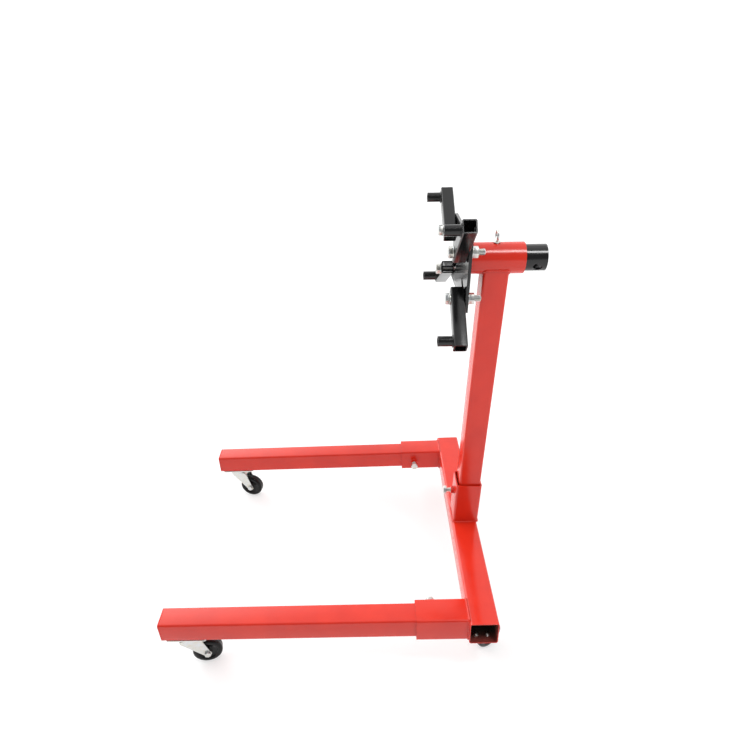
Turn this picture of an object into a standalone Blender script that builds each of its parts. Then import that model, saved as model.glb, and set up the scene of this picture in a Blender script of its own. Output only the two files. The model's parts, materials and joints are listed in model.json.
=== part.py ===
"""Engine stand: a two-legged base on four swivel casters, a leaning post and a turning head
with a slotted plate and four swinging arms.  Metres, +Z up, legs toward -X, floor at z = 0."""

import math

import bmesh
import bpy
from mathutils import Matrix, Vector

MM = 0.001
GAP = 0.3 * MM                    # air between neighbouring pieces

# ---- base ------------------------------------------------------------------------------
BEAM = 60 * MM                    # rear crossmember, sleeves and post socket: 60 mm square tube
BEAM_WALL = 2 * MM
SPREAD = 664 * MM                 # length of the crossmember
SLEEVE_WALL = 4 * MM
SLEEVE_INSET = 9 * MM             # sleeve side to crossmember end
SLEEVE_REACH = 109 * MM           # sleeve length in front of the crossmember
LEG = 50 * MM                     # legs and post: 50 mm square tube
LEG_WALL = 3 * MM
CLAMP_AHEAD = 104 * MM            # a sleeve's clamp bolt ahead of the crossmember's middle
LEG_TIP = 680 * MM                # end of a leg that is fully home to the crossmember's middle
LEG_OUT = {"near": 8 * MM, "far": 0}    # how far each leg stands drawn out of its sleeve
CAP = 3 * MM                      # plate closing a leg's end
BEAM_Z = 124 * MM                 # crossmember's middle above the floor
TUBE_ROUND = 5 * MM               # outside corner radius of the square tubes

# ---- casters ---------------------------------------------------------------------------
WHEEL_R = 33 * MM
WHEEL_W = 24 * MM
TRAIL = 31 * MM                   # kingpin to axle
PLATE_L, PLATE_W, PLATE_T = 88 * MM, 48 * MM, 3 * MM
BOLT_L, BOLT_W = 36 * MM, 12 * MM # caster bolts from the kingpin, along and across the plate
RACE_R, RACE_T = 21 * MM, 7 * MM
CHEEK_T = 2.5 * MM
FRONT_KING = 628 * MM             # front kingpin ahead of the crossmember's middle, leg home
REAR_KING = 278 * MM              # rear kingpin from the stand's centre plane
SWING = {                         # where each fork points at rest, from +X toward +Y
    "front_near": 12, "front_far": -13, "rear_near": 35, "rear_far": 12,
}

# ---- post and head ---------------------------------------------------------------------
LEAN = math.radians(2.7)          # the post leans back
SOCKET_H = 112 * MM
SOCKET_WALL = 3 * MM
SOCKET_X = 2 * MM                 # socket's middle behind the crossmember's middle
POST_BACK = 1.7 * MM              # the clamp bolt pushes the post back in its socket
CLAMP_DROP = 35 * MM              # the post's clamp bolt below the socket's top
HEAD_RISE = 687 * MM              # head axis above the crossmember's middle
HEAD_X = 35 * MM                  # head axis at the post, behind the crossmember's middle
HEAD_TILT = math.radians(1.8)     # the head's front end is tipped up
HEAD_R, HEAD_WALL = 30.15 * MM, 4 * MM
SLEEVE_FRONT, SLEEVE_REAR = -57.5 * MM, 52.5 * MM
SPINDLE_R, SPINDLE_WALL = 25.4 * MM, 3.5 * MM
SPINDLE_REAR = 94.5 * MM
BAR_HOLE_X, BAR_HOLE_R, BAR_HOLE_DIP = 76.5 * MM, 9 * MM, math.radians(30)
PIN_X, PIN_R = -1 * MM, 5 * MM
EYE_R, EYE_WIRE = 9.5 * MM, 2 * MM

# ---- mounting plate and arms -----------------------------------------------------------
FACE_X = -69.3 * MM               # the plate's front face, in front of the post
FACE_T = 6 * MM
FACE_W, FACE_H = 206 * MM, 132 * MM
FACE_DROP = 5 * MM                # plate's middle below the head axis
SLOT_OUT = (84 * MM, 44 * MM)     # outer end of a slot: across, up
SLOT_RUN = 42 * MM                # how far a bolt slides in its slot
BOLT_R = 6 * MM                   # M12
ARM = 25 * MM
ARM_WALL = 2.5 * MM
ARM_OUT, ARM_IN = 103 * MM, 18 * MM
FINGER_AT, FINGER_R, FINGER_L = 88 * MM, 9.5 * MM, 28 * MM
FINGER_BORE = 6.3 * MM
ARMS = {                          # side, top or bottom, direction from straight up toward +Y
    "upper_far": (1, 1, math.radians(57)),
    "upper_near": (-1, 1, math.radians(-49)),
    "lower_near": (-1, -1, math.radians(-128)),
    "lower_far": (1, -1, math.radians(119)),
}
SLID_IN = {"upper_far": 10 * MM}  # bolts that rest short of their slot's outer end

FINISH = {                        # colour, metallic, roughness
    "red": ((0.62, 0.035, 0.022, 1), 0.0, 0.28),
    "black": ((0.012, 0.012, 0.013, 1), 0.0, 0.3),
    "zinc": ((0.62, 0.63, 0.64, 1), 1.0, 0.32),
    "rubber": ((0.018, 0.018, 0.02, 1), 0.0, 0.42),
}

# The stand's box is centred on the origin: leg ends in front, spindle end behind.
REAR_X = (LEG_TIP + LEG_OUT["near"] - HEAD_X - SPINDLE_REAR * math.cos(HEAD_TILT)
          - SPINDLE_R * math.sin(HEAD_TILT)) / 2

for old in list(bpy.data.objects):
    bpy.data.objects.remove(old, do_unlink=True)


# ---- building blocks -------------------------------------------------------------------
def add_object(name, bm, finish, matrix=Matrix.Identity(4), smooth=True):
    """Make a closed mesh into a named object with a material of its own."""
    bmesh.ops.recalc_face_normals(bm, faces=bm.faces)
    mesh = bpy.data.meshes.new(name)
    bm.to_mesh(mesh)
    bm.free()
    if smooth:
        mesh.shade_smooth()
        mesh.set_sharp_from_angle(angle=math.radians(35))
    obj = bpy.data.objects.new(name, mesh)
    bpy.context.scene.collection.objects.link(obj)
    obj.matrix_world = matrix
    if finish:
        colour, metallic, roughness = FINISH[finish]
        mat = bpy.data.materials.new(name)
        mat.use_nodes = True
        shader = mat.node_tree.nodes["Principled BSDF"]
        shader.inputs["Base Color"].default_value = colour
        shader.inputs["Metallic"].default_value = metallic
        shader.inputs["Roughness"].default_value = roughness
        mesh.materials.append(mat)
    return obj


def bridge(bm, rings, closed=False):
    """Join rings of equal length with quads."""
    pairs = list(zip(rings, rings[1:])) + ([(rings[-1], rings[0])] if closed else [])
    for lower, upper in pairs:
        for i, vert in enumerate(lower):
            j = (i + 1) % len(lower)
            bm.faces.new((vert, lower[j], upper[j], upper[i]))


def turned(stations, sides=24, closed=False, twist=0.0):
    """Revolve (z, radius) stations about Z; a third item "hex" makes that ring six-sided."""
    bm = bmesh.new()
    rings = []
    for z, radius, *shape in stations:
        ring = []
        for i in range(sides):
            angle = 2 * math.pi * i / sides + twist
            r = radius
            if shape:
                r = radius / math.cos((angle % (math.pi / 3)) - math.pi / 6)
            ring.append(bm.verts.new((r * math.cos(angle), r * math.sin(angle), z)))
        rings.append(ring)
    bridge(bm, rings, closed)
    if not closed:
        bm.faces.new(rings[0])
        bm.faces.new(rings[-1])
    return bm


def pipe(outer, inner, z0, z1, sides=48):
    return turned([(z0, outer), (z1, outer), (z1, inner), (z0, inner)], sides, closed=True)


def rounded(width, height, radius, steps=4):
    """Points of a rectangle with rounded corners, centred on the origin."""
    points = []
    for k, (sx, sy) in enumerate(((1, 1), (-1, 1), (-1, -1), (1, -1))):
        cx, cy = sx * (width / 2 - radius), sy * (height / 2 - radius)
        for i in range(steps + 1):
            angle = math.pi / 2 * (k + i / steps)
            points.append((cx + radius * math.cos(angle), cy + radius * math.sin(angle)))
    return points


def square_tube(width, height, wall, z0, z1, radius=TUBE_ROUND):
    """Square tube along Z with rounded corners, open at both ends."""
    bm = bmesh.new()
    outer = rounded(width, height, radius)
    inner = rounded(width - 2 * wall, height - 2 * wall, max(radius - wall, 0.8 * MM))
    rings = [[bm.verts.new((x, y, z)) for x, y in loop]
             for loop, z in ((outer, z0), (outer, z1), (inner, z1), (inner, z0))]
    bridge(bm, rings, closed=True)
    return bm


def slab(points, z0, z1):
    """Extrude an outline from z0 to z1."""
    bm = bmesh.new()
    rings = [[bm.verts.new((x, y, z)) for x, y in points] for z in (z0, z1)]
    bridge(bm, rings)
    for ring in rings:
        bm.faces.new(ring)
    return bm


def box(size, centre=(0, 0, 0)):
    bm = bmesh.new()
    bmesh.ops.create_cube(bm, size=1.0)
    bmesh.ops.scale(bm, vec=Vector(size), verts=bm.verts)
    bmesh.ops.translate(bm, vec=Vector(centre), verts=bm.verts)
    return bm


def boolean(target, bm, matrix=Matrix.Identity(4), operation="DIFFERENCE"):
    """Cut a shape from a piece, or weld one onto it, with a hidden helper."""
    label = "cut" if operation == "DIFFERENCE" else "add"
    helper = add_object(f"{target.name}_{label}_{len(target.modifiers)}", bm, None, matrix)
    helper.hide_render = True
    helper.display_type = "WIRE"
    mod = target.modifiers.new(helper.name, "BOOLEAN")
    mod.operation = operation
    mod.solver = "EXACT"
    mod.object = helper


def soften(obj, width, angle=40):
    mod = obj.modifiers.new("softened edges", "BEVEL")
    mod.width = width
    mod.segments = 2
    mod.limit_method = "ANGLE"
    mod.angle_limit = math.radians(angle)
    mod.use_clamp_overlap = True


def hang(child, parent):
    """Parent a piece without moving it."""
    child.parent = parent
    child.matrix_parent_inverse = parent.matrix_world.inverted()


def frame(origin, x_axis, z_axis):
    """Matrix whose local Z is z_axis and whose local X is nearest to x_axis."""
    z = Vector(z_axis).normalized()
    y = z.cross(Vector(x_axis)).normalized()
    x = y.cross(z)
    turn = Matrix((x, y, z)).transposed().to_4x4()
    return Matrix.Translation(origin) @ turn


ALONG_Y = Vector((0, 1, 0))
ALONG_X = Vector((1, 0, 0))
UP = Vector((0, 0, 1))

# ---- base: crossmember, sleeves, legs --------------------------------------------------
beam_mid = Vector((REAR_X, 0, BEAM_Z))
leg_y = SPREAD / 2 - SLEEVE_INSET - BEAM / 2
SIDES = (("near", -1), ("far", 1))

crossmember = add_object(
    "crossmember", square_tube(BEAM, BEAM, BEAM_WALL, -SPREAD / 2, SPREAD / 2), "red",
    frame(beam_mid, ALONG_X, ALONG_Y))

sleeves, legs = {}, {}
for side, sign in SIDES:
    front = beam_mid + Vector((-BEAM / 2 - GAP, sign * leg_y, 0))
    sleeves[side] = add_object(
        f"leg_sleeve_{side}", square_tube(BEAM, BEAM, SLEEVE_WALL, 0, SLEEVE_REACH), "red",
        frame(front, ALONG_Y, -ALONG_X))
    hang(sleeves[side], crossmember)
    # The leg starts just ahead of the crossmember and is closed by a welded plate.
    length = LEG_TIP - BEAM / 2 - CAP - 2 * GAP + LEG_OUT[side]
    legs[side] = add_object(
        f"leg_{side}", square_tube(LEG, LEG, LEG_WALL, 2 * MM + LEG_OUT[side], length), "red",
        frame(front, ALONG_Y, -ALONG_X))
    hang(legs[side], sleeves[side])
    cap = add_object(
        f"leg_end_cap_{side}", slab(rounded(LEG, LEG, TUBE_ROUND), 0, CAP), "red",
        frame(front + Vector((-length - GAP, 0, 0)), ALONG_Y, -ALONG_X))
    hang(cap, legs[side])

# ---- post socket and post --------------------------------------------------------------
lean_up = Vector((math.sin(LEAN), 0, math.cos(LEAN)))
socket_foot = beam_mid + Vector((SOCKET_X, 0, BEAM / 2))
socket = add_object(
    "post_socket", square_tube(BEAM, BEAM, SOCKET_WALL, -10 * MM, SOCKET_H), "red",
    frame(socket_foot, ALONG_X, lean_up))
below = box((0.2, 0.2, 0.1), socket_foot + Vector((0, 0, GAP - 0.05)))
boolean(socket, below)
hang(socket, crossmember)

head_mid = beam_mid + Vector((HEAD_X, 0, HEAD_RISE))
head_axis = Vector((math.cos(HEAD_TILT), 0, -math.sin(HEAD_TILT)))
head_up = Vector((math.sin(HEAD_TILT), 0, math.cos(HEAD_TILT)))
post_side = Vector((math.cos(LEAN), 0, -math.sin(LEAN)))
post_foot = socket_foot + post_side * POST_BACK + lean_up * (3 * MM)
post_top = (head_mid - post_foot).dot(lean_up)
post = add_object(
    "post", square_tube(LEG, LEG, LEG_WALL, 0, post_top), "red",
    frame(post_foot, ALONG_X, lean_up))
boolean(post, turned([(-0.1, HEAD_R + GAP), (0.1, HEAD_R + GAP)], 48),
        frame(head_mid, ALONG_Y, head_axis))
hang(post, socket)


def clamp_bolt(tag, where, inward, holder, hole_depth):
    """Weld nut on a tube's face and the hex bolt that runs through it onto the inner tube."""
    outward = -inward
    nut = add_object(
        f"weld_nut_{tag}",
        turned([(GAP, 8 * MM, "hex"), (8.5 * MM, 8 * MM, "hex"), (8.5 * MM, 5.3 * MM),
                (GAP, 5.3 * MM)], closed=True), "red",
        frame(where, UP, outward))
    hang(nut, holder)
    bolt = add_object(
        f"clamp_bolt_{tag}",
        turned([(-hole_depth, 4 * MM), (-hole_depth + 1 * MM, 5 * MM), (19 * MM, 5 * MM),
                (19 * MM, 8.5 * MM, "hex"), (25 * MM, 8.5 * MM, "hex"), (26 * MM, 7.6 * MM)]),
        "zinc", frame(where, UP, outward))
    hang(bolt, holder)
    boolean(holder, turned([(-8 * MM, 5.3 * MM), (4 * MM, 5.3 * MM)]),
            frame(where, UP, outward))


leg_play = (BEAM - 2 * SLEEVE_WALL - LEG) / 2
for side, sign in SIDES:
    spot = beam_mid + Vector((-CLAMP_AHEAD, sign * (leg_y - BEAM / 2), -3 * MM))
    clamp_bolt(side, spot, Vector((0, sign, 0)), sleeves[side], SLEEVE_WALL + leg_play - GAP)
post_play = BEAM / 2 - SOCKET_WALL - LEG / 2 + POST_BACK
spot = socket_foot - post_side * (BEAM / 2) + lean_up * (SOCKET_H - CLAMP_DROP)
clamp_bolt("post", spot, post_side, socket, SOCKET_WALL + post_play - GAP)

# ---- head sleeve, lock pin and turning spindle -----------------------------------------
head_frame = frame(head_mid, head_up, head_axis)        # local Z runs to the rear
head_sleeve = add_object(
    "head_sleeve", pipe(HEAD_R, HEAD_R - HEAD_WALL, SLEEVE_FRONT, SLEEVE_REAR), "red",
    head_frame)
hang(head_sleeve, post)
pin_frame = frame(head_mid + head_axis * PIN_X, head_axis, head_up)
boolean(head_sleeve, turned([(20 * MM, PIN_R + GAP), (40 * MM, PIN_R + GAP)]), pin_frame)

flange = HEAD_R + GAP
eye_mid = flange + 4 * MM + EYE_R
lock_pin = add_object(
    "lock_pin",
    turned([(SPINDLE_R + GAP, PIN_R - 1 * MM), (SPINDLE_R + 1.3 * MM, PIN_R), (flange, PIN_R),
            (flange, 7.25 * MM), (flange + 2 * MM, 7.25 * MM), (flange + 3 * MM, 4 * MM),
            (eye_mid - EYE_R + 1 * MM, 2.5 * MM)]), "zinc", pin_frame)
ring = bmesh.new()
rings = []
for i in range(24):
    angle = 2 * math.pi * i / 24
    out = Vector((0, math.cos(angle), math.sin(angle)))
    rings.append([ring.verts.new(
        Vector((0, 0, eye_mid)) + out * (EYE_R + EYE_WIRE * math.cos(2 * math.pi * k / 8))
        + Vector((EYE_WIRE * math.sin(2 * math.pi * k / 8), 0, 0))) for k in range(8)])
bridge(ring, rings, closed=True)
boolean(lock_pin, ring, pin_frame, "UNION")
hang(lock_pin, head_sleeve)

plate_rear = FACE_X + FACE_T
spindle = add_object(
    "head_spindle", pipe(SPINDLE_R, SPINDLE_R - SPINDLE_WALL, plate_rear + GAP, SPINDLE_REAR),
    "black", head_frame)
for step in range(4):                                    # four cross holes: a stop every 45 deg
    turn = Matrix.Rotation(step * math.pi / 4, 4, head_axis)
    boolean(spindle, turned([(-40 * MM, PIN_R + GAP), (40 * MM, PIN_R + GAP)], 16),
            frame(head_mid + head_axis * PIN_X, head_axis, turn.to_3x3() @ head_up))
bar_way = -ALONG_Y * math.cos(BAR_HOLE_DIP) - head_up * math.sin(BAR_HOLE_DIP)
boolean(spindle, turned([(-40 * MM, BAR_HOLE_R), (40 * MM, BAR_HOLE_R)]),
        frame(head_mid + head_axis * BAR_HOLE_X, head_axis, bar_way))
hang(spindle, head_sleeve)

# ---- mounting plate --------------------------------------------------------------------
face_mid = head_mid + head_axis * plate_rear - head_up * FACE_DROP
face_frame = frame(face_mid, ALONG_Y, -head_axis)        # local X across, local Z to the front
plate = add_object(
    "mounting_plate", slab(rounded(FACE_W, FACE_H, 2 * MM, 2), 0, FACE_T), "black", face_frame)
soften(plate, 0.6 * MM)
slot_way = Vector((SLOT_OUT[0], SLOT_OUT[1])).normalized()


def on_face(across, up, out=0.0):
    """Point on the mounting plate, `out` ahead of its front face."""
    return (head_mid + head_axis * (FACE_X - out) - head_up * FACE_DROP
            + ALONG_Y * across + head_up * up)


for tag, (sy, sz, angle) in ARMS.items():
    half = SLOT_RUN / 2 + 1 * MM
    mid = SLOT_OUT[0] * sy, SLOT_OUT[1] * sz
    way = ALONG_Y * sy * slot_way.x + head_up * sz * slot_way.y
    slot = slab([(x + (half if x > 0 else -half), y) for x, y in
                 [(7 * MM * math.cos(a), 7 * MM * math.sin(a)) for a in
                  [math.pi * (k + 0.5) / 12 for k in range(24)]]], -10 * MM, 10 * MM)
    boolean(plate, slot, frame(on_face(*mid) - way * (SLOT_RUN / 2), way, head_axis))
hang(plate, spindle)

# ---- arms, fingers and their bolts -----------------------------------------------------
for tag, (sy, sz, angle) in ARMS.items():
    across, up = Vector(SLOT_OUT) - slot_way * SLID_IN.get(tag, 0)
    seat = on_face(across * sy, up * sz)
    way = ALONG_Y * math.sin(angle) + head_up * math.cos(angle)
    forward = -head_axis
    arm_mid = seat + forward * (ARM / 2 + GAP)
    bolt = add_object(
        f"arm_bolt_{tag}",
        turned([(-31 * MM, 5 * MM), (-30 * MM, BOLT_R), (ARM + 2 * GAP, BOLT_R),
                (ARM + 2 * GAP, 11.5 * MM), (ARM + 2.5 * MM, 11.5 * MM),
                (ARM + 2.5 * MM, 9.5 * MM, "hex"), (ARM + 9 * MM, 9.5 * MM, "hex"),
                (ARM + 10.2 * MM, 8.6 * MM)]), "zinc", frame(seat, way, forward))
    hang(bolt, plate)
    nut = add_object(
        f"arm_nut_{tag}",
        turned([(-FACE_T - GAP, 12 * MM), (-FACE_T - 2.5 * MM, 12 * MM),
                (-FACE_T - 2.5 * MM, 9.5 * MM, "hex"), (-FACE_T - 12 * MM, 9.5 * MM, "hex"),
                (-FACE_T - 12.8 * MM, 8.8 * MM), (-FACE_T - 12.8 * MM, BOLT_R + GAP),
                (-FACE_T - GAP, BOLT_R + GAP)], closed=True), "zinc",
        frame(seat, way, forward))
    hang(nut, bolt)
    arm = add_object(
        f"arm_{tag}", square_tube(ARM, ARM, ARM_WALL, -ARM_IN, ARM_OUT, 3 * MM), "black",
        frame(arm_mid, forward, way))
    for along in (0, FINGER_AT):
        boolean(arm, turned([(-20 * MM, FINGER_BORE), (20 * MM, FINGER_BORE)]),
                frame(arm_mid + way * along, way, forward))
    hang(arm, bolt)
    finger = add_object(
        f"finger_{tag}", pipe(FINGER_R, FINGER_BORE, 0, FINGER_L, 32), "black",
        frame(arm_mid + way * FINGER_AT + forward * (ARM / 2 + GAP), way, forward))
    hang(finger, arm)

# ---- casters ---------------------------------------------------------------------------
def caster(tag, king, height, long_way, holder, floor_wall):
    """Swivel caster: bolted top plate, fork on a kingpin, wheel and axle bolt."""
    plate_frame = frame(king, long_way, UP)
    top_plate = add_object(
        f"caster_plate_{tag}",
        slab(rounded(PLATE_L, PLATE_W, 5 * MM), -GAP - PLATE_T, -GAP), "zinc", plate_frame)
    king_hole = turned([(-20 * MM, 7.3 * MM), (20 * MM, 7.3 * MM)], 20)
    for sx in (-1, 1):
        for sy in (-1, 1):
            spot = plate_frame @ Vector((sx * BOLT_L, sy * BOLT_W, 0))
            # Bolt head under the plate, shank through the tube's floor, nut inside the tube.
            stud = turned([(-PLATE_T - 4 * MM, 5.5 * MM, "hex"), (-PLATE_T + 1 * MM, 5.5 * MM, "hex"),
                           (-PLATE_T + 1 * MM, 3 * MM), (floor_wall + GAP, 3 * MM),
                           (floor_wall + GAP, 5 * MM, "hex"), (floor_wall + 5 * MM, 5 * MM, "hex"),
                           (floor_wall + 5 * MM, 3 * MM), (floor_wall + 8 * MM, 3 * MM)], 12)
            boolean(top_plate, stud, Matrix.Translation(spot), "UNION")
            boolean(holder, turned([(-2 * MM, 3.3 * MM), (floor_wall + 2 * MM, 3.3 * MM)], 12),
                    Matrix.Translation(spot))
    boolean(top_plate, king_hole, Matrix.Translation(king))
    hang(top_plate, holder)

    # Fork: one pressed outline wide at the crown, narrowing to the axle.
    swing = math.radians(SWING[tag])
    way = Vector((math.cos(swing), math.sin(swing), 0))
    fork_frame = frame(king, way, UP)
    crown = -GAP - PLATE_T - GAP - RACE_T
    axle_z = WHEEL_R - height
    nose = 9 * MM
    outline = [(-21 * MM, crown), (-21 * MM, crown - 9 * MM)]
    for i in range(9):
        angle = math.radians(225 + 22.5 * i)
        outline.append((TRAIL + nose * math.cos(angle), axle_z + nose * math.sin(angle)))
    outline += [(24 * MM, crown - 6 * MM), (20 * MM, crown)]
    width = WHEEL_W + 2 * (1.2 * MM + CHEEK_T)
    side = frame(king, way, way.cross(UP))                # local Z across the fork
    fork = add_object(f"fork_{tag}", slab(outline, -width / 2, width / 2), "zinc", side)
    inside = WHEEL_W + 2.4 * MM
    boolean(fork, box((0.12, 0.1, inside), (TRAIL, crown - CHEEK_T - 0.05, 0)), side)
    soften(fork, 0.5 * MM, 50)
    race = turned([(crown - 1.2 * MM, RACE_R - 1 * MM), (crown + 1 * MM, RACE_R - 1 * MM),
                   (crown + 2.6 * MM, RACE_R), (crown + 4 * MM, RACE_R),
                   (-PLATE_T - 2 * GAP, RACE_R - 3 * MM), (-PLATE_T - 2 * GAP, 7 * MM),
                   (-2 * GAP, 7 * MM), (-2 * GAP, 5 * MM)], 20)
    boolean(fork, race, fork_frame, "UNION")
    axle_mid = king + way * TRAIL + UP * axle_z
    across = frame(axle_mid, UP, way.cross(UP))
    boolean(fork, turned([(-0.03, 4.3 * MM), (0.03, 4.3 * MM)], 16), across)
    hang(fork, top_plate)

    tread, w = WHEEL_R / math.cos(math.pi / 40), WHEEL_W / 2
    section = [(-w, 9 * MM), (-w, 4.4 * MM), (w, 4.4 * MM), (w, 9 * MM), (w - 4 * MM, 10 * MM),
               (w - 4 * MM, 21 * MM), (w - 1 * MM, 23 * MM), (w - 0.5 * MM, 31.2 * MM),
               (w - 2 * MM, tread), (-w + 2 * MM, tread), (-w + 0.5 * MM, 31.2 * MM),
               (-w + 1 * MM, 23 * MM), (-w + 4 * MM, 21 * MM), (-w + 4 * MM, 10 * MM)]
    wheel = add_object(f"wheel_{tag}",
                       turned(section, 40, closed=True, twist=math.pi / 40), "rubber", across)
    hang(wheel, fork)
    edge = width / 2
    axle = add_object(
        f"axle_{tag}",
        turned([(-edge - 5.2 * MM, 5.5 * MM, "hex"), (-edge - GAP, 6.5 * MM, "hex"),
                (-edge - GAP, 4 * MM), (edge + GAP, 4 * MM), (edge + GAP, 6.5 * MM, "hex"),
                (edge + 4.6 * MM, 6.5 * MM, "hex"), (edge + 5.2 * MM, 5.8 * MM)], 12),
        "zinc", across)
    hang(axle, fork)


for side, sign in SIDES:
    front_king = beam_mid + Vector((-FRONT_KING - LEG_OUT[side], sign * leg_y, -LEG / 2))
    caster(f"front_{side}", front_king, BEAM_Z - LEG / 2, ALONG_X, legs[side], LEG_WALL)
    rear_king = beam_mid + Vector((-1 * MM, sign * REAR_KING, -BEAM / 2))
    caster(f"rear_{side}", rear_king, BEAM_Z - BEAM / 2, ALONG_Y, crossmember, BEAM_WALL)
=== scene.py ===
"""Engine stand: painted square-tube base and post, turning head with slotted plate and arms,
zinc-plated fasteners and four swivel casters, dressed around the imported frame."""

import json
import math

import bmesh
import bpy
from mathutils import Matrix, Vector


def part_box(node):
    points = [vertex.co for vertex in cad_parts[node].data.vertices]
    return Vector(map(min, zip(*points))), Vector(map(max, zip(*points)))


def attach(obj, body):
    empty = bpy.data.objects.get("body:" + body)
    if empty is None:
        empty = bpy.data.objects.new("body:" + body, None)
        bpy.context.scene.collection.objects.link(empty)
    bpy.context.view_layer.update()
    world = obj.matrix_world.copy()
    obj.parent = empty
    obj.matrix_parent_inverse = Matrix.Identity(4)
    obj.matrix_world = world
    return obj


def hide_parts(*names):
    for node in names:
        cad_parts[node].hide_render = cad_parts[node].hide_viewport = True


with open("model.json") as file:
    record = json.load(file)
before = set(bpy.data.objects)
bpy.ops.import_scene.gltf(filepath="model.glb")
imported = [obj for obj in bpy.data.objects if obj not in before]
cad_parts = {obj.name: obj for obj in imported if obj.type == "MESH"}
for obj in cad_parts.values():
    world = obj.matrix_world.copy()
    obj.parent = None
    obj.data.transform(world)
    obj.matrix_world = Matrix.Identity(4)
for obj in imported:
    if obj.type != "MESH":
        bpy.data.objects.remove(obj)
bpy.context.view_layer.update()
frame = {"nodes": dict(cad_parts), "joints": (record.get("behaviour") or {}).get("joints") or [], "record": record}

JOINTS = {joint["name"]: joint for joint in frame["joints"]}
BODIES = frame["record"]["behaviour"]["bodies"]
MM = 0.001
SIDES = ("near", "far")
ARMS = [name[4:] for name in BODIES if name.startswith("arm_") and "bolt" not in name]
CASTERS = [name[7:] for name in BODIES if name.startswith("caster_")]

# Sizes of bought parts and pressings that the frame's solids only outline.
M12_FLATS = 19 * MM           # across the flats of the arm bolts' heads and nuts
M10_FLATS = 17 * MM           # and of the clamp bolts' heads
M12_R, M10_R = 6 * MM, 5 * MM
M10_PITCH = 1.5 * MM
WASHER_R = 12 * MM
TUBE_ROUND = 5 * MM           # outside corner radius of the square tubes
PIN_WIRE, PIN_EYE = 2 * MM, 9.5 * MM
FORK_PLATE = 2.5 * MM
FORK_HALF = 15.7 * MM         # half a fork's width, outside
FORK_CROWN = -10.6 * MM       # top of a fork below the tube that its plate is bolted to
FORK_BEND = 3.6 * MM
FORK_NOSE = 9 * MM            # rounding of a cheek about its axle
RACE_TOP = -3.6 * MM
WHEEL_HALF = 12 * MM

# The camera frames the stand left of and below the middle of its view.
CAMERA_SHIFT = (0.030446, 0.034721)
LAMP_SPOT = Vector((1.05, -1.0, 2.92))
LAMP_AIM = Vector((0.1, 0, 0.4))
LAMP_SIZE = 0.6
DIM_FRONT = (Vector((0, -1, 0.3)), 80, 30)          # direction, outer and inner half angle
BRIGHT_LEFT = (Vector((-0.62, 0.62, 0.45)), 38, 8)

bl_info = {
    "name": "Engine Stand",
    "version": (1, 0, 0),
    "blender": (4, 5, 0),
    "location": "View3D > Sidebar > Engine Stand",
    "description": "Builds the finished pieces of a rolling engine stand around its frame",
    "category": "Add Mesh",
}


# ---- colours and nodes -----------------------------------------------------------------
def hex_colour(code):
    """Linear RGBA of an sRGB hex colour."""
    channels = [int(code[i:i + 2], 16) / 255 for i in (0, 2, 4)]
    return [c / 12.92 if c <= 0.04045 else ((c + 0.055) / 1.055) ** 2.4
            for c in channels] + [1.0]


def add_node(tree, kind, links=None, **settings):
    """Add one shader node; links fill inputs by name, settings are sockets or attributes."""
    node = tree.nodes.new(kind)
    for key, value in settings.items():
        if hasattr(node, key):
            setattr(node, key, value)
        else:
            node.inputs[key.replace("_", " ")].default_value = value
    for key, output in (links or {}).items():
        tree.links.new(output, node.inputs[key])
    return node


def new_material(name):
    """A material with its Principled shader joined to the output."""
    material = bpy.data.materials.new(name)
    material.use_nodes = True
    tree = material.node_tree
    return material, tree, tree.nodes["Principled BSDF"]


def coordinates(tree):
    return add_node(tree, "ShaderNodeTexCoord").outputs["Object"]


def noise(tree, size, detail=2.0, rough=0.5):
    """Noise whose cells are `size` metres across."""
    return add_node(tree, "ShaderNodeTexNoise", {"Vector": coordinates(tree)},
                    Scale=1 / size, Detail=detail, Roughness=rough).outputs["Fac"]


def spread(tree, source, low, high):
    """Map the middle of a noise to low..high."""
    return add_node(tree, "ShaderNodeMapRange", {"Value": source}, From_Min=0.3, From_Max=0.7,
                    To_Min=low, To_Max=high).outputs["Result"]


def tint(tree, factor, first, second):
    """Blend two colours by a factor."""
    mix = add_node(tree, "ShaderNodeMix", {"Factor": factor}, data_type="RGBA")
    mix.inputs["A"].default_value, mix.inputs["B"].default_value = first, second
    return mix.outputs[2]


def relief(tree, height, depth, strength=1.0):
    return add_node(tree, "ShaderNodeBump", {"Height": height}, Distance=depth,
                    Strength=strength).outputs["Normal"]


def powder_coat(name, colour, deep, roughness):
    """Gloss powder coat on steel, cured smooth: a wet-looking skin with faint orange peel
    that breaks up the edge of every highlight, and a slightly deeper colour where it ran thick."""
    material, tree, shader = new_material(name)
    peel = noise(tree, PEEL_SIZE, 1.0)
    cloud = noise(tree, 70 * MM, 3.0)
    tree.links.new(tint(tree, spread(tree, cloud, 0, 1), colour, deep),
                   shader.inputs["Base Color"])
    haze = noise(tree, 25 * MM, 4.0, 0.6)
    tree.links.new(spread(tree, haze, roughness * 0.8, roughness * 1.25),
                   shader.inputs["Roughness"])
    tree.links.new(relief(tree, peel, PEEL_DEPTH), shader.inputs["Normal"])
    shader.inputs["IOR"].default_value = 1.5
    return material


def zinc_plate(name, colour, warm, roughness):
    """Bright zinc plate on pressed and headed steel: cold silver, slightly milky, with faint
    straw and blue patches from the passivation and fine handling marks."""
    material, tree, shader = new_material(name)
    patch = noise(tree, 9 * MM, 3.0)
    tree.links.new(tint(tree, spread(tree, patch, 0, 1), colour, warm),
                   shader.inputs["Base Color"])
    marks = noise(tree, 1.6 * MM, 5.0, 0.7)
    tree.links.new(spread(tree, marks, roughness * 0.7, roughness * 1.35),
                   shader.inputs["Roughness"])
    tree.links.new(relief(tree, marks, 0.02 * MM), shader.inputs["Normal"])
    shader.inputs["Metallic"].default_value = 1.0
    return material


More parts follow.
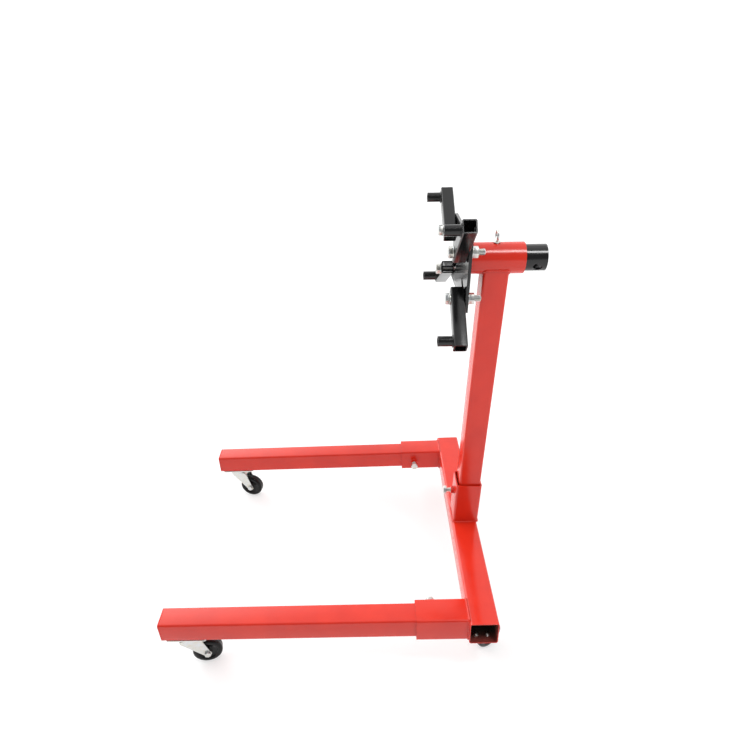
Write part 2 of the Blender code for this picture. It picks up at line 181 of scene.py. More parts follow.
def moulded_plastic(name, colour, worn, roughness):
    """Injection-moulded polypropylene wheel: near-black with a soft shine, and a greyer,
    duller tread where it has rolled."""
    material, tree, shader = new_material(name)
    scuff = noise(tree, 4 * MM, 5.0, 0.65)
    tree.links.new(tint(tree, spread(tree, scuff, 0, 0.6), colour, worn),
                   shader.inputs["Base Color"])
    tree.links.new(spread(tree, scuff, roughness * 0.85, roughness * 1.3),
                   shader.inputs["Roughness"])
    tree.links.new(relief(tree, noise(tree, 0.8 * MM, 2.0), 0.015 * MM),
                   shader.inputs["Normal"])
    shader.inputs["IOR"].default_value = 1.49
    shader.inputs["Specular IOR Level"].default_value = 0.25
    return material


def mill_steel_with_painted_shade(name, colour, mouth_red, mouth):
    """Unpainted hot-rolled steel inside a tube, dark with mill scale, with painted shade: half red overspray
    at an open end, darkening to the steel colour 30 mm further in where the tube's inside lies in shade."""
    material, tree, shader = new_material(name)
    scale = noise(tree, 6 * MM, 4.0, 0.6)
    bare_steel_and_shade = tint(tree, spread(tree, scale, 0, 1), colour, [c * 0.55 for c in colour[:3]] + [1])
    # Painted shade: the colour darkens with distance in from the open end, from half red to the steel colour.
    place = add_node(tree, "ShaderNodeSeparateXYZ", {"Vector": coordinates(tree)})
    depth = add_node(tree, "ShaderNodeMath", {0: place.outputs["Y"]}, operation="ABSOLUTE")
    near = add_node(tree, "ShaderNodeMapRange", {"Value": depth.outputs["Value"]},
                    From_Min=mouth - 30 * MM, From_Max=mouth, To_Min=0, To_Max=0.5)
    mix = add_node(tree, "ShaderNodeMix", {"Factor": near.outputs["Result"], "A": bare_steel_and_shade},
                   data_type="RGBA")
    mix.inputs["B"].default_value = mouth_red
    tree.links.new(mix.outputs[2], shader.inputs["Base Color"])
    tree.links.new(spread(tree, scale, 0.55, 0.75), shader.inputs["Roughness"])
    tree.links.new(relief(tree, scale, 0.05 * MM), shader.inputs["Normal"])
    shader.inputs["Metallic"].default_value = 0.6
    return material


PEEL_SIZE = 2.5 * MM      # real orange peel is 1 to 3 mm across
PEEL_DEPTH = 0.012 * MM
MATERIALS = {}


def material_for(kind):
    """The stand's materials, each made once from the colours in the panel."""
    if kind not in MATERIALS:
        paint = bpy.context.scene.stand_paint
        builders = {
            "red": lambda: powder_coat("gloss_red_powder_coat", paint.red, paint.red_deep, 0.2),
            "black": lambda: powder_coat("gloss_black_enamel", paint.black, paint.black_deep,
                                         0.16),
            "zinc": lambda: zinc_plate("bright_zinc_plate", paint.zinc, paint.zinc_warm, 0.3),
            "wheel": lambda: moulded_plastic("moulded_polypropylene", paint.wheel,
                                             paint.wheel_worn, 0.17),
            # The crossmember's inside: dark mill-scale steel that also serves as painted shade inside the tube.
            "bare_steel_and_shade": lambda: mill_steel_with_painted_shade("hot_rolled_mill_scale_and_painted_shade", paint.bare_steel_and_shade, paint.red_deep,
                                       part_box("crossmember")[1].y),
        }
        MATERIALS[kind] = builders[kind]()
    return MATERIALS[kind]


# ---- shaping ---------------------------------------------------------------------------
def set_down(bm, name, kind, body, replaced=(), matrix=None, crisp=35):
    """Turn a bmesh into a finished piece: in place, smooth, painted and riding on a body."""
    if matrix is not None:
        bmesh.ops.transform(bm, matrix=matrix, verts=bm.verts)
        bmesh.ops.recalc_face_normals(bm, faces=bm.faces)
    mesh = bpy.data.meshes.new(name)
    bm.to_mesh(mesh)
    bm.free()
    mesh.shade_smooth()
    mesh.set_sharp_from_angle(angle=math.radians(crisp))
    mesh.materials.append(material_for(kind))
    piece = bpy.data.objects.new(name, mesh)
    bpy.context.scene.collection.objects.link(piece)
    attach(piece, body)
    if replaced:
        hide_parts(*replaced)
    return piece


def body_of_node(node):
    return next(body for body, nodes in BODIES.items() if node in nodes)


def edge_rounded(node, kind, width, inside=None):
    """The node's own solid, merged into whole faces, with its sharp edges rounded. A tube
    gives its axis as `inside`; its inward-looking faces take the dark unpainted-steel material, which paints the
    shade inside the tube."""
    bm = bmesh.new()
    bm.from_mesh(frame["nodes"][node].data)
    bmesh.ops.remove_doubles(bm, verts=bm.verts, dist=0.002 * MM)
    bmesh.ops.dissolve_limit(bm, angle_limit=math.radians(0.5), verts=bm.verts,
                             edges=bm.edges)
    if inside is not None:
        low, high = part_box(node)
        inner_faces_in_painted_shade = []
        for face in bm.faces:
            out = face.calc_center_median() - (low + high) / 2
            out -= inside * out.dot(inside)
            if out.length > 1 * MM and face.normal.dot(out) < 0 \
                    and abs(face.normal.dot(inside)) < 0.5:
                inner_faces_in_painted_shade.append(face)
        # The inward faces get the dark interior material: unpainted steel and painted shade inside the tube.
        for face in inner_faces_in_painted_shade:
            face.material_index = 1
    piece = set_down(bm, f"{node}_finished", kind, body_of_node(node), [node])
    if inside is not None:
        piece.data.materials.append(material_for("bare_steel_and_shade"))
    rounding = piece.modifiers.new("rounded edges", "BEVEL")
    rounding.width = width
    rounding.segments = 2
    rounding.limit_method = "ANGLE"
    rounding.angle_limit = math.radians(40)
    rounding.harden_normals = False
    return piece


def frame_at(origin, x_axis, z_axis):
    """Matrix with its Z along z_axis and its X as near x_axis as that allows."""
    z = Vector(z_axis).normalized()
    y = z.cross(Vector(x_axis)).normalized()
    return Matrix.Translation(origin) @ Matrix((y.cross(z), y, z)).transposed().to_4x4()


def spun(bm, outline, steps=72, closed=False):
    """Revolve an outline of (radius, height) about Z."""
    verts = [bmesh.ops.create_vert(bm, co=(r, 0, z))["vert"][0] for r, z in outline]
    pairs = list(zip(verts, verts[1:])) + ([(verts[-1], verts[0])] if closed else [])
    edges = [bm.edges.new(pair) for pair in pairs]
    made = bmesh.ops.spin(bm, geom=verts + edges, cent=(0, 0, 0), axis=(0, 0, 1),
                          angle=2 * math.pi, steps=steps, use_merge=True)
    bmesh.ops.remove_doubles(bm, verts=bm.verts, dist=0.001 * MM)
    bmesh.ops.recalc_face_normals(bm, faces=bm.faces)
    return made


def weld_bead(name, path, radius, kind, body):
    """A closed run of weld: a ring carried round the joint, swelling with each puddle."""
    bm = bmesh.new()
    count = len(path)
    places = []
    for i, point in enumerate(path):
        along = (path[(i + 1) % count] - path[i - 1]).normalized()
        ripple = radius * (1 + 0.14 * math.sin(i * 1.35) + 0.05 * math.sin(i * 0.37))
        side = Vector((0.31, 0.72, 0.62)).cross(along)
        places.append(frame_at(point, side, along) @ Matrix.Scale(ripple, 4))
    ring = bmesh.ops.create_circle(bm, segments=8, radius=1.0)["verts"]
    edges = first = bm.edges[:]
    bmesh.ops.transform(bm, matrix=places[0], verts=ring)
    for before, after in zip(places, places[1:]):
        grown = bmesh.ops.extrude_edge_only(bm, edges=edges)["geom"]
        verts = [g for g in grown if isinstance(g, bmesh.types.BMVert)]
        edges = [g for g in grown if isinstance(g, bmesh.types.BMEdge)]
        bmesh.ops.transform(bm, matrix=after @ before.inverted(), verts=verts)
    bmesh.ops.bridge_loops(bm, edges=first + edges)
    bmesh.ops.recalc_face_normals(bm, faces=bm.faces)
    return set_down(bm, name, kind, body, crisp=80)


def ring_path(matrix, radius, pitch):
    count = max(12, round(2 * math.pi * radius / pitch))
    return [matrix @ Vector((radius * math.cos(a), radius * math.sin(a), 0))
            for a in (2 * math.pi * i / count for i in range(count))]


def square_path(matrix, width, height, corner, pitch):
    """Points round a rounded rectangle in the matrix's XY plane, evenly spaced."""
    points = []
    for k, (sx, sy) in enumerate(((1, 1), (-1, 1), (-1, -1), (1, -1))):
        cx, cy = sx * (width / 2 - corner), sy * (height / 2 - corner)
        points += [Vector((cx + corner * math.cos(math.pi / 2 * (k + i / 4)),
                           cy + corner * math.sin(math.pi / 2 * (k + i / 4)), 0))
                   for i in range(5)]
    return [matrix @ p for p in resample(points, pitch)]


def resample(points, pitch):
    """Even steps round a closed run of points."""
    lengths = [(points[(i + 1) % len(points)] - p).length for i, p in enumerate(points)]
    count = max(12, round(sum(lengths) / pitch))
    step, walked, i, out = sum(lengths) / count, 0.0, 0, []
    for k in range(count):
        target = k * step
        while walked + lengths[i] < target:
            walked += lengths[i]
            i += 1
        part = (target - walked) / lengths[i]
        out.append(points[i].lerp(points[(i + 1) % len(points)], part))
    return out


def hex_head(bm, across_flats, low, high, round_off=0.5 * MM):
    """Six-sided head or nut with its outer rim chamfered."""
    made = bmesh.ops.create_cone(bm, cap_ends=True, segments=6, depth=high - low,
                                 radius1=across_flats / math.sqrt(3),
                                 radius2=across_flats / math.sqrt(3),
                                 matrix=Matrix.Translation((0, 0, (low + high) / 2)))
    edges = {e for v in made["verts"] for e in v.link_edges}
    bmesh.ops.bevel(bm, geom=list(edges), offset=round_off, segments=2, profile=0.5,
                    affect="EDGES", material=-1)


def threaded(bm, radius, pitch, low, high):
    """Threaded shank from low to high with a chamfered tip at low."""
    depth = 0.55 * pitch
    outline = [(0, low), (radius - depth - 0.3 * MM, low), (radius, low + 1.1 * MM)]
    turns = int((high - low - 1.1 * MM) / pitch)
    for i in range(turns):
        z = low + 1.1 * MM + i * pitch
        outline += [(radius - depth, z + pitch * 0.5), (radius, z + pitch)]
    outline += [(0, outline[-1][1])]
    spun(bm, outline, 32)


def pressed_fork(tag):
    """A caster's fork folded from 2.5 mm plate with round bends, and the ball race above it."""
    king = Vector(JOINTS[f"swivel_{tag}"]["pos_m"])
    axle = Vector(JOINTS[f"wheel_spin_{tag}"]["pos_m"])
    holder = "crossmember" if tag.startswith("rear") else f"leg_{tag[6:]}"
    king.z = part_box(holder)[0].z
    reach = axle - king
    way = Vector((reach.x, reach.y, 0)).normalized()
    trail, drop, crown, half = reach.dot(way), reach.z, FORK_CROWN, FORK_HALF
    outline = [(-21 * MM, crown), (-21 * MM, crown - 9 * MM)]
    outline += [(trail + FORK_NOSE * math.cos(a), drop + FORK_NOSE * math.sin(a))
                for a in (math.radians(225 + 15 * i) for i in range(13))]
    outline += [(24 * MM, crown - 6 * MM), (20 * MM, crown)]
    bm = bmesh.new()
    cheek = bm.faces.new([bmesh.ops.create_vert(bm, co=(x, -half, z))["vert"][0]
                          for x, z in outline])
    grown = bmesh.ops.extrude_face_region(bm, geom=[cheek], use_keep_orig=True)["geom"]
    bmesh.ops.translate(bm, vec=(0, 2 * half, 0),
                        verts=[g for g in grown if isinstance(g, bmesh.types.BMVert)])
    bmesh.ops.recalc_face_normals(bm, faces=bm.faces)
    open_sides = [f for f in bm.faces if abs(f.normal.y) < 0.5 and f.normal.z < 0.5]
    bmesh.ops.delete(bm, geom=open_sides, context="FACES")
    folds = [e for e in bm.edges if len(e.link_faces) == 2
             and any(abs(f.normal.y) > 0.5 for f in e.link_faces)]
    bmesh.ops.bevel(bm, geom=folds, offset=FORK_BEND, segments=5, profile=0.5,
                    affect="EDGES", material=-1)
    bmesh.ops.solidify(bm, geom=bm.faces[:], thickness=FORK_PLATE)
    bmesh.ops.recalc_face_normals(bm, faces=bm.faces)
    spun(bm, [(7 * MM, crown - 1.2 * MM), (19 * MM, crown - 0.8 * MM),
              (20.4 * MM, crown + 1 * MM), (21 * MM, crown + 2.8 * MM),
              (20.6 * MM, crown + 4.2 * MM), (18.6 * MM, crown + 5.2 * MM),
              (18 * MM, RACE_TOP), (7 * MM, RACE_TOP)], 48, closed=True)
    spun(bm, [(0, crown - 5 * MM), (6.5 * MM, crown - 5 * MM), (7 * MM, crown - 4 * MM),
              (7 * MM, -1.8 * MM), (5 * MM, -0.6 * MM), (0, -0.6 * MM)], 32)
    place = frame_at(king, way, UP)
    piece = set_down(bm, f"fork_{tag}_finished", "zinc", f"caster_{tag}", [f"fork_{tag}"], place)
    edges = piece.modifiers.new("rounded edges", "BEVEL")
    edges.width, edges.segments, edges.limit_method = 0.35 * MM, 2, "ANGLE"
    edges.angle_limit = math.radians(50)


# ---- places read from the frame --------------------------------------------------------
HEAD = JOINTS["head_turn"]
HEAD_MID = Vector(HEAD["pos_m"])
HEAD_AXIS = Vector(HEAD["axis"])
ACROSS = Vector((0, 1, 0))
UP = Vector((0, 0, 1))
HEAD_UP = HEAD_AXIS.cross(ACROSS).normalized()


def middle(node):
    low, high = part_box(node)
    return (low + high) / 2


def along_head(node, end):
    """Station of a head node's front (-1) or rear (+1) end along the head axis."""
    reach = [(v.co - HEAD_MID).dot(HEAD_AXIS) for v in frame["nodes"][node].data.vertices]
    return min(reach) if end < 0 else max(reach)


# ---- settings --------------------------------------------------------------------------
def colour_property(name, description, code):
    return bpy.props.FloatVectorProperty(name=name, description=description, size=4,
                                         subtype="COLOR", min=0, max=1,
                                         default=hex_colour(code))


class StandPaint(bpy.types.PropertyGroup):
    """Colours of the stand's finishes."""
    red: colour_property("Red", "Powder coat of the base, post and head sleeve", "DC2F1B")
    red_deep: colour_property("Deep red", "Powder coat where it is thicker", "D02919")
    black: colour_property("Black", "Enamel of the plate, arms and spindle", "101011")
    black_deep: colour_property("Deep black", "Enamel where it is thicker", "0B0B0C")
    zinc: colour_property("Zinc", "Bright zinc plate", "D4D8DB")
    zinc_warm: colour_property("Warm zinc", "Straw tint in the zinc's passivation", "D2CFC4")
    wheel: colour_property("Wheel", "Moulded wheel", "080809")
    wheel_worn: colour_property("Worn wheel", "Scuffed wheel", "121213")
    # Dark inside colour of the crossmember, which also paints the shade inside it.
    bare_steel_and_shade: colour_property("Bare steel", "Mill scale inside the open tubes", "625A52")


class StandSizes(bpy.types.PropertyGroup):
    """Small sizes that the frame does not carry."""
    edge: bpy.props.FloatProperty(
        name="Edge rounding", description="Rounding of cut and painted steel edges",
        default=0.5 * MM, min=0, unit="LENGTH")
    weld: bpy.props.FloatProperty(
        name="Weld bead", description="Radius of the main weld beads", default=2.4 * MM,
        min=0, unit="LENGTH")
    ripple: bpy.props.FloatProperty(
        name="Weld step", description="Spacing of points along a weld bead",
        default=1.0 * MM, min=0.0005, unit="LENGTH")
    thread: bpy.props.FloatProperty(
        name="Thread pitch", description="Pitch of the arm bolts' M12 thread",
        default=1.75 * MM, min=0.0005, unit="LENGTH")


class StandStage(bpy.types.PropertyGroup):
    """The room the stand is shown in."""
    floor: colour_property("Floor", "Pale studio floor", "BCBCBC")
    glow: bpy.props.FloatProperty(
        name="Floor glow", description="Light the floor gives off by itself", default=0.54,
        min=0)
    sky: bpy.props.FloatProperty(
        name="Surround", description="Brightness of the white surround", default=1.22, min=0)
    front: bpy.props.FloatProperty(
        name="Front", description="Brightness of the dim side of the room, behind the camera",
        default=0.3, min=0)
    left: bpy.props.FloatProperty(
        name="Left", description="How much brighter the left rear of the room is", default=2.6,
        min=0)
    key: bpy.props.FloatProperty(
        name="Lamp", description="Power of the overhead lamp", default=20.0, min=0,
        unit="POWER")
    lens: bpy.props.FloatProperty(
        name="Lens", description="Focal length on a 36 mm frame", default=28.566, min=1,
        unit="CAMERA")
    azimuth: bpy.props.FloatProperty(
        name="Azimuth", description="Camera heading from +Y toward +X",
        default=math.radians(-2.9442), subtype="ANGLE", unit="ROTATION")
    elevation: bpy.props.FloatProperty(
        name="Elevation", description="How far the camera looks down",
        default=math.radians(31.5029), subtype="ANGLE", unit="ROTATION")
    roll: bpy.props.FloatProperty(
        name="Roll", description="Camera roll", default=math.radians(-3.5539),
        subtype="ANGLE", unit="ROTATION")
    camera: bpy.props.FloatVectorProperty(
        name="Camera", description="Camera position", size=3, unit="LENGTH",
        default=(76.82 * MM, -1133.22 * MM, 1192.38 * MM))


# ---- operators -------------------------------------------------------------------------
class STAND_OT_welded_frame(bpy.types.Operator):
    """Paint the crossmember, sleeves, legs, socket, post and weld nuts, with rounded edges"""
    bl_idname = "stand.welded_frame"
    bl_label = "Welded frame"

    def execute(self, context):
        edge = context.scene.stand_sizes.edge
        edge_rounded("crossmember", "red", edge, ACROSS)
        for node in ("post_socket", "post", "head_sleeve"):
            edge_rounded(node, "red", edge)
        for side in SIDES:
            for node in (f"leg_sleeve_{side}", f"leg_{side}", f"leg_end_cap_{side}"):
                edge_rounded(node, "red", edge)
        for tag in SIDES + ("post",):
            edge_rounded(f"weld_nut_{tag}", "red", edge)
        return {"FINISHED"}


class STAND_OT_weld_beads(bpy.types.Operator):
    """Run weld beads round the sleeves, socket, post top, nuts, spindle and fingers"""
    bl_idname = "stand.weld_beads"
    bl_label = "Weld beads"

    def execute(self, context):
        sizes = context.scene.stand_sizes
        bead, step = sizes.weld, sizes.ripple
        beam_low, beam_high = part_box("crossmember")
        for side in SIDES:
            low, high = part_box(f"leg_sleeve_{side}")
            spot = Vector((beam_low.x, (low.y + high.y) / 2, (low.z + high.z) / 2))
            weld_bead(f"weld_leg_sleeve_{side}",
                      square_path(frame_at(spot, ACROSS, (-1, 0, 0)), high.y - low.y,
                                  high.z - low.z, TUBE_ROUND, step), bead, "red", "frame")
        low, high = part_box("post_socket")
        width = high.y - low.y
        foot = [v.co for v in frame["nodes"]["post_socket"].data.vertices
                if v.co.z < beam_high.z + 1 * MM]
        x_mid = (min(p.x for p in foot) + max(p.x for p in foot)) / 2
        spot = Vector((x_mid, 0, beam_high.z))
        weld_bead("weld_post_socket",
                  square_path(Matrix.Translation(spot), width, width, TUBE_ROUND, step),
                  bead, "red", "frame")
        # The post's square end is coped to the head sleeve's round.
        low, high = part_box("post")
        post = high.y - low.y
        sleeve_r = (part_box("head_sleeve")[1].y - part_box("head_sleeve")[0].y) / 2
        path = []
        for p in square_path(Matrix.Identity(4), post, post, TUBE_ROUND, step):
            drop = math.sqrt(sleeve_r ** 2 - p.y ** 2)
            path.append(HEAD_MID + HEAD_AXIS * p.x + ACROSS * p.y - HEAD_UP * drop)
        weld_bead("weld_post_top", path, bead, "red", "frame")
        for tag in SIDES + ("post",):
            joint = JOINTS[f"clamp_bolt_{tag}_travel"]
            out = Vector(joint["axis"])
            nodes = frame["nodes"][f"weld_nut_{tag}"].data.vertices
            reach = min(v.co.dot(out) for v in nodes)
            centre = middle(f"weld_nut_{tag}")
            spot = centre + out * (reach - centre.dot(out))
            weld_bead(f"weld_nut_bead_{tag}",
                      ring_path(frame_at(spot, UP, out), 8.6 * MM, step), 1.5 * MM, "red",
                      "frame")
        spindle_r = (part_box("head_spindle")[1].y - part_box("head_spindle")[0].y) / 2
        spot = HEAD_MID + HEAD_AXIS * along_head("head_spindle", -1)
        weld_bead("weld_spindle", ring_path(frame_at(spot, ACROSS, HEAD_AXIS),
                                            spindle_r + 0.6 * MM, step), bead, "black", "head")
        for tag in ARMS:
            finger = middle(f"finger_{tag}")
            base = (finger - HEAD_MID).dot(HEAD_AXIS)
            spot = finger + HEAD_AXIS * (along_head(f"finger_{tag}", 1) - base)
            weld_bead(f"weld_finger_{tag}",
                      ring_path(frame_at(spot, ACROSS, HEAD_AXIS), 10.0 * MM, step),
                      1.6 * MM, "black", f"arm_{tag}")
        return {"FINISHED"}


class STAND_OT_head(bpy.types.Operator):
    """Enamel the spindle, mounting plate, arms and fingers, with rounded edges"""
    bl_idname = "stand.head"
    bl_label = "Turning head"

    def execute(self, context):
        edge = context.scene.stand_sizes.edge
        edge_rounded("head_spindle", "black", edge)
        edge_rounded("mounting_plate", "black", edge)
        for tag in ARMS:
            edge_rounded(f"arm_{tag}", "black", edge)
            edge_rounded(f"finger_{tag}", "black", edge)
        return {"FINISHED"}


class STAND_OT_fasteners(bpy.types.Operator):
    """Make the arm bolts, their nuts and the clamp bolts, threaded and zinc plated"""
    bl_idname = "stand.fasteners"
    bl_label = "Bolts and nuts"

    def execute(self, context):
        pitch = context.scene.stand_sizes.thread
        for tag in ARMS:
            seat = Vector(JOINTS[f"arm_swing_{tag}"]["pos_m"])
            forward = Vector(JOINTS[f"arm_swing_{tag}"]["axis"])
            place = frame_at(seat, HEAD_UP, forward)
            body = f"arm_bolt_{tag}"
            bm = bmesh.new()
            threaded(bm, M12_R, pitch, -31 * MM, -4 * MM)
            spun(bm, [(0, -5 * MM), (5.9 * MM, -5 * MM), (5.9 * MM, 26 * MM), (0, 26 * MM)], 32)
            spun(bm, [(0, 25.6 * MM), (11.3 * MM, 25.6 * MM), (11.5 * MM, 25.8 * MM),
                      (11.5 * MM, 27.2 * MM), (11.2 * MM, 27.5 * MM), (0, 27.5 * MM)], 48)
            hex_head(bm, M12_FLATS, 27.5 * MM, 35.2 * MM, 0.7 * MM)
            set_down(bm, f"arm_bolt_{tag}_finished", "zinc", body, [f"arm_bolt_{tag}"], place)
            bm = bmesh.new()
            spun(bm, [(6.3 * MM, -6.3 * MM), (11.9 * MM, -6.3 * MM), (WASHER_R, -6.5 * MM),
                      (WASHER_R, -8.3 * MM), (11.8 * MM, -8.5 * MM), (6.3 * MM, -8.5 * MM)],
                 48, closed=True)
            hex_head(bm, M12_FLATS, -18.6 * MM, -8.5 * MM, 0.7 * MM)
            set_down(bm, f"arm_nut_{tag}_finished", "zinc", body, [f"arm_nut_{tag}"], place)
        for tag in SIDES + ("post",):
            out = Vector(JOINTS[f"clamp_bolt_{tag}_travel"]["axis"])
            nut = middle(f"weld_nut_{tag}")
            reach = min(v.co.dot(out) for v in frame["nodes"][f"weld_nut_{tag}"].data.vertices)
            place = frame_at(nut + out * (reach - nut.dot(out)), UP, out)
            bm = bmesh.new()
            threaded(bm, M10_R, M10_PITCH, -4 * MM, 19 * MM)
            spun(bm, [(0, 18 * MM), (4.9 * MM, 18 * MM), (4.9 * MM, 20 * MM), (0, 20 * MM)], 32)
            hex_head(bm, M10_FLATS, 18.7 * MM, 25.7 * MM, 0.7 * MM)
            set_down(bm, f"clamp_bolt_{tag}_finished", "zinc", f"clamp_bolt_{tag}",
                     [f"clamp_bolt_{tag}"], place)
        return {"FINISHED"}


class STAND_OT_lock_pin(bpy.types.Operator):
    """Make the head's lock pin with its flange and bent eye"""
    bl_idname = "stand.lock_pin"
    bl_label = "Lock pin"

    def execute(self, context):
        station = (middle("lock_pin") - HEAD_MID).dot(HEAD_AXIS)
        place = frame_at(HEAD_MID + HEAD_AXIS * station, HEAD_AXIS, HEAD_UP)
        reach = [(v.co - HEAD_MID).dot(HEAD_UP)
                 for v in frame["nodes"]["lock_pin"].data.vertices]
        tip, top = min(reach), max(reach)
        ring_mid = top - PIN_EYE - PIN_WIRE
        flange = ring_mid - PIN_EYE - 4 * MM
        bm = bmesh.new()
        spun(bm, [(0, tip), (4 * MM, tip), (5 * MM, tip + 0.9 * MM), (5 * MM, flange),
                  (7 * MM, flange), (7.25 * MM, flange + 0.3 * MM),
                  (7.25 * MM, flange + 1.6 * MM), (6.6 * MM, flange + 2.2 * MM),
                  (3.4 * MM, flange + 3 * MM), (2.4 * MM, flange + 4.5 * MM),
                  (0, flange + 5 * MM)], 48)
        # The circle lies flat, which is across the ring where the ring's radius runs along Y.
        section = bmesh.ops.create_circle(
            bm, segments=16, radius=PIN_WIRE,
            matrix=Matrix.Translation((0, PIN_EYE, ring_mid)))["verts"]
        edges = list({e for v in section for e in v.link_edges})
        bmesh.ops.spin(bm, geom=section + edges, cent=(0, 0, ring_mid), axis=(1, 0, 0),
                       angle=2 * math.pi, steps=64, use_merge=True)
        bmesh.ops.recalc_face_normals(bm, faces=bm.faces)
        set_down(bm, "lock_pin_finished", "zinc", "lock_pin", ["lock_pin"], place)
        return {"FINISHED"}


class STAND_OT_casters(bpy.types.Operator):
    """Make the four casters: top plates, forks, wheels and axle bolts"""
    bl_idname = "stand.casters"
    bl_label = "Casters"

    def execute(self, context):
        for tag in CASTERS:
            edge_rounded(f"caster_plate_{tag}", "zinc", 0.4 * MM)
            pressed_fork(tag)
            edge_rounded(f"axle_{tag}", "zinc", 0.3 * MM)
            spin = JOINTS[f"wheel_spin_{tag}"]
            place = frame_at(Vector(spin["pos_m"]), UP, Vector(spin["axis"]))
            low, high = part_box(f"wheel_{tag}")
            radius, half = (high.z - low.z) / 2, WHEEL_HALF
            bm = bmesh.new()
            outline = [(4.4 * MM, half), (8.6 * MM, half), (9 * MM, half - 0.4 * MM),
                       (9.6 * MM, half - 3.4 * MM), (10.6 * MM, half - 4 * MM),
                       (20.2 * MM, half - 4 * MM), (21.2 * MM, half - 3.2 * MM),
                       (22.6 * MM, half - 1.2 * MM), (23.4 * MM, half - 0.9 * MM),
                       (28.5 * MM, half - 1.1 * MM), (30.4 * MM, half - 1.9 * MM),
                       (31.9 * MM, half - 3.4 * MM), (radius - 0.25 * MM, half - 5.2 * MM),
                       (radius, half - 6.6 * MM), (radius, 0.4 * MM),
                       (radius - 0.15 * MM, 0.0)]
            outline += [(r, -z) for r, z in reversed(outline[:-1])]
            spun(bm, outline, 96, closed=True)
            set_down(bm, f"wheel_{tag}_finished", "wheel", f"wheel_{tag}", [f"wheel_{tag}"],
                     place, crisp=50)
        return {"FINISHED"}


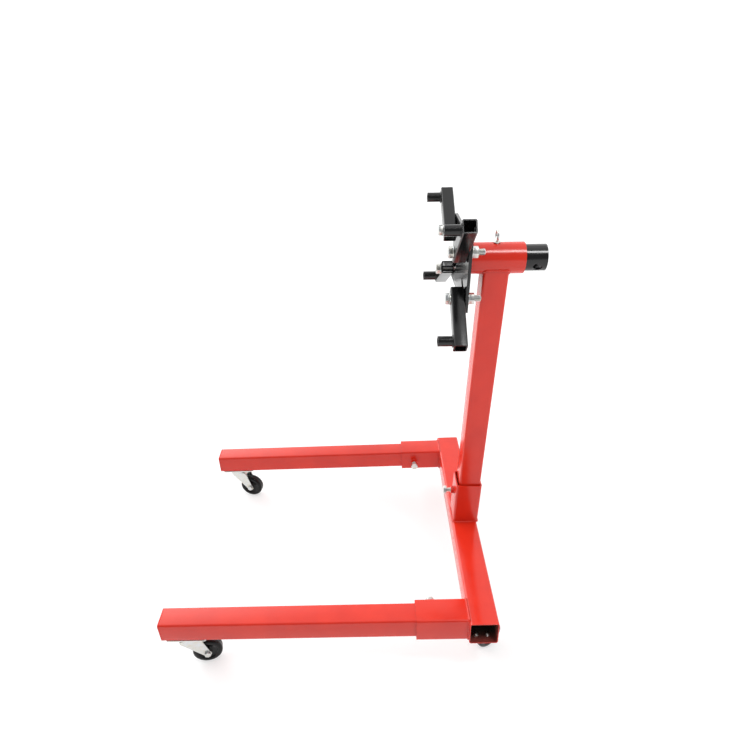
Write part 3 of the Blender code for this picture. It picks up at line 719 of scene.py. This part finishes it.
class STAND_OT_stage(bpy.types.Operator):
    """Lay the pale floor, hang the soft lights and place the camera"""
    bl_idname = "stand.stage"
    bl_label = "Studio"

    def execute(self, context):
        stage = context.scene.stand_stage
        bm = bmesh.new()
        bmesh.ops.create_grid(bm, x_segments=1, y_segments=1, size=30)
        mesh = bpy.data.meshes.new("studio_floor")
        bm.to_mesh(mesh)
        bm.free()
        floor = bpy.data.objects.new("studio_floor", mesh)
        context.scene.collection.objects.link(floor)
        material, tree, shader = new_material("matt_studio_floor")
        shader.inputs["Base Color"].default_value = stage.floor
        shader.inputs["Roughness"].default_value = 0.9
        # The floor is a lit sheet of opal acrylic, which thins the stand's shadow.
        shader.inputs["Emission Color"].default_value = (1, 1, 1, 1)
        shader.inputs["Emission Strength"].default_value = stage.glow
        mesh.materials.append(material)

        world = bpy.data.worlds.new("white_surround")
        context.scene.world = world
        world.use_nodes = True
        tree = world.node_tree
        ray = add_node(tree, "ShaderNodeTexCoord").outputs["Generated"]
        level = stage.sky
        for towards, wide, narrow, change in ((*DIM_FRONT, stage.front - stage.sky),
                                              (*BRIGHT_LEFT, stage.left)):
            aim = add_node(tree, "ShaderNodeVectorMath", {0: ray}, operation="DOT_PRODUCT")
            aim.inputs[1].default_value = towards.normalized()
            inside = add_node(tree, "ShaderNodeMapRange", {"Value": aim.outputs["Value"]},
                              interpolation_type="SMOOTHSTEP",
                              From_Min=math.cos(math.radians(wide)),
                              From_Max=math.cos(math.radians(narrow)), To_Min=0, To_Max=change)
            total = add_node(tree, "ShaderNodeMath", {0: inside.outputs["Result"]},
                             operation="ADD")
            if isinstance(level, float):
                total.inputs[1].default_value = level
            else:
                tree.links.new(level, total.inputs[1])
            level = total.outputs["Value"]
        # Seen directly the room is plain white; its dim front only shapes the light.
        seen = add_node(tree, "ShaderNodeLightPath").outputs["Is Camera Ray"]
        strength = add_node(tree, "ShaderNodeMix", {"Factor": seen, "A": level},
                            data_type="FLOAT")
        strength.inputs["B"].default_value = stage.sky
        background = tree.nodes["Background"]
        background.inputs["Color"].default_value = (1, 1, 1, 1)
        tree.links.new(strength.outputs["Result"], background.inputs["Strength"])

        lamp = bpy.data.lights.new("overhead_lamp", "AREA")
        lamp.size, lamp.energy = LAMP_SIZE, stage.key
        holder = bpy.data.objects.new("overhead_lamp", lamp)
        context.scene.collection.objects.link(holder)
        holder.visible_camera = False
        holder.matrix_world = frame_at(LAMP_SPOT, ACROSS, LAMP_SPOT - LAMP_AIM)

        data = bpy.data.cameras.new("camera")
        data.sensor_width, data.lens = 36.0, stage.lens
        data.shift_x, data.shift_y = CAMERA_SHIFT
        data.clip_start, data.clip_end = 0.01, 100.0
        camera = bpy.data.objects.new("camera", data)
        context.scene.collection.objects.link(camera)
        az, el, roll = stage.azimuth, stage.elevation, stage.roll
        forward = Vector((math.sin(az) * math.cos(el), math.cos(az) * math.cos(el),
                          -math.sin(el)))
        level = Vector((math.cos(az), -math.sin(az), 0))
        upright = level.cross(forward)
        right = level * math.cos(roll) + upright * math.sin(roll)
        camera.matrix_world = frame_at(Vector(stage.camera), right, -forward)
        context.scene.camera = camera
        context.scene.view_settings.view_transform = "Standard"
        return {"FINISHED"}


class STAND_PT_panel(bpy.types.Panel):
    """Sidebar list of the stand's pieces and settings"""
    bl_label = "Engine Stand"
    bl_idname = "STAND_PT_panel"
    bl_space_type = "VIEW_3D"
    bl_region_type = "UI"
    bl_category = "Engine Stand"

    def draw(self, context):
        for operator in OPERATORS:
            self.layout.operator(operator.bl_idname)
        for group in (context.scene.stand_paint, context.scene.stand_sizes,
                      context.scene.stand_stage):
            box = self.layout.box()
            for key in group.__annotations__:
                box.prop(group, key)


OPERATORS = (STAND_OT_stage, STAND_OT_welded_frame, STAND_OT_weld_beads, STAND_OT_head,
             STAND_OT_fasteners, STAND_OT_lock_pin, STAND_OT_casters)
GROUPS = {"stand_paint": StandPaint, "stand_sizes": StandSizes, "stand_stage": StandStage}


def register():
    for cls in (*GROUPS.values(), *OPERATORS, STAND_PT_panel):
        bpy.utils.register_class(cls)
    for name, group in GROUPS.items():
        setattr(bpy.types.Scene, name, bpy.props.PointerProperty(type=group))


def unregister():
    for name in GROUPS:
        delattr(bpy.types.Scene, name)
    for cls in (STAND_PT_panel, *reversed(OPERATORS), *reversed(GROUPS.values())):
        bpy.utils.unregister_class(cls)


def main():
    register()
    bpy.ops.stand.stage()
    bpy.ops.stand.welded_frame()
    bpy.ops.stand.weld_beads()
    bpy.ops.stand.head()
    bpy.ops.stand.fasteners()
    bpy.ops.stand.lock_pin()
    bpy.ops.stand.casters()


if __name__ == "__main__":
    main()
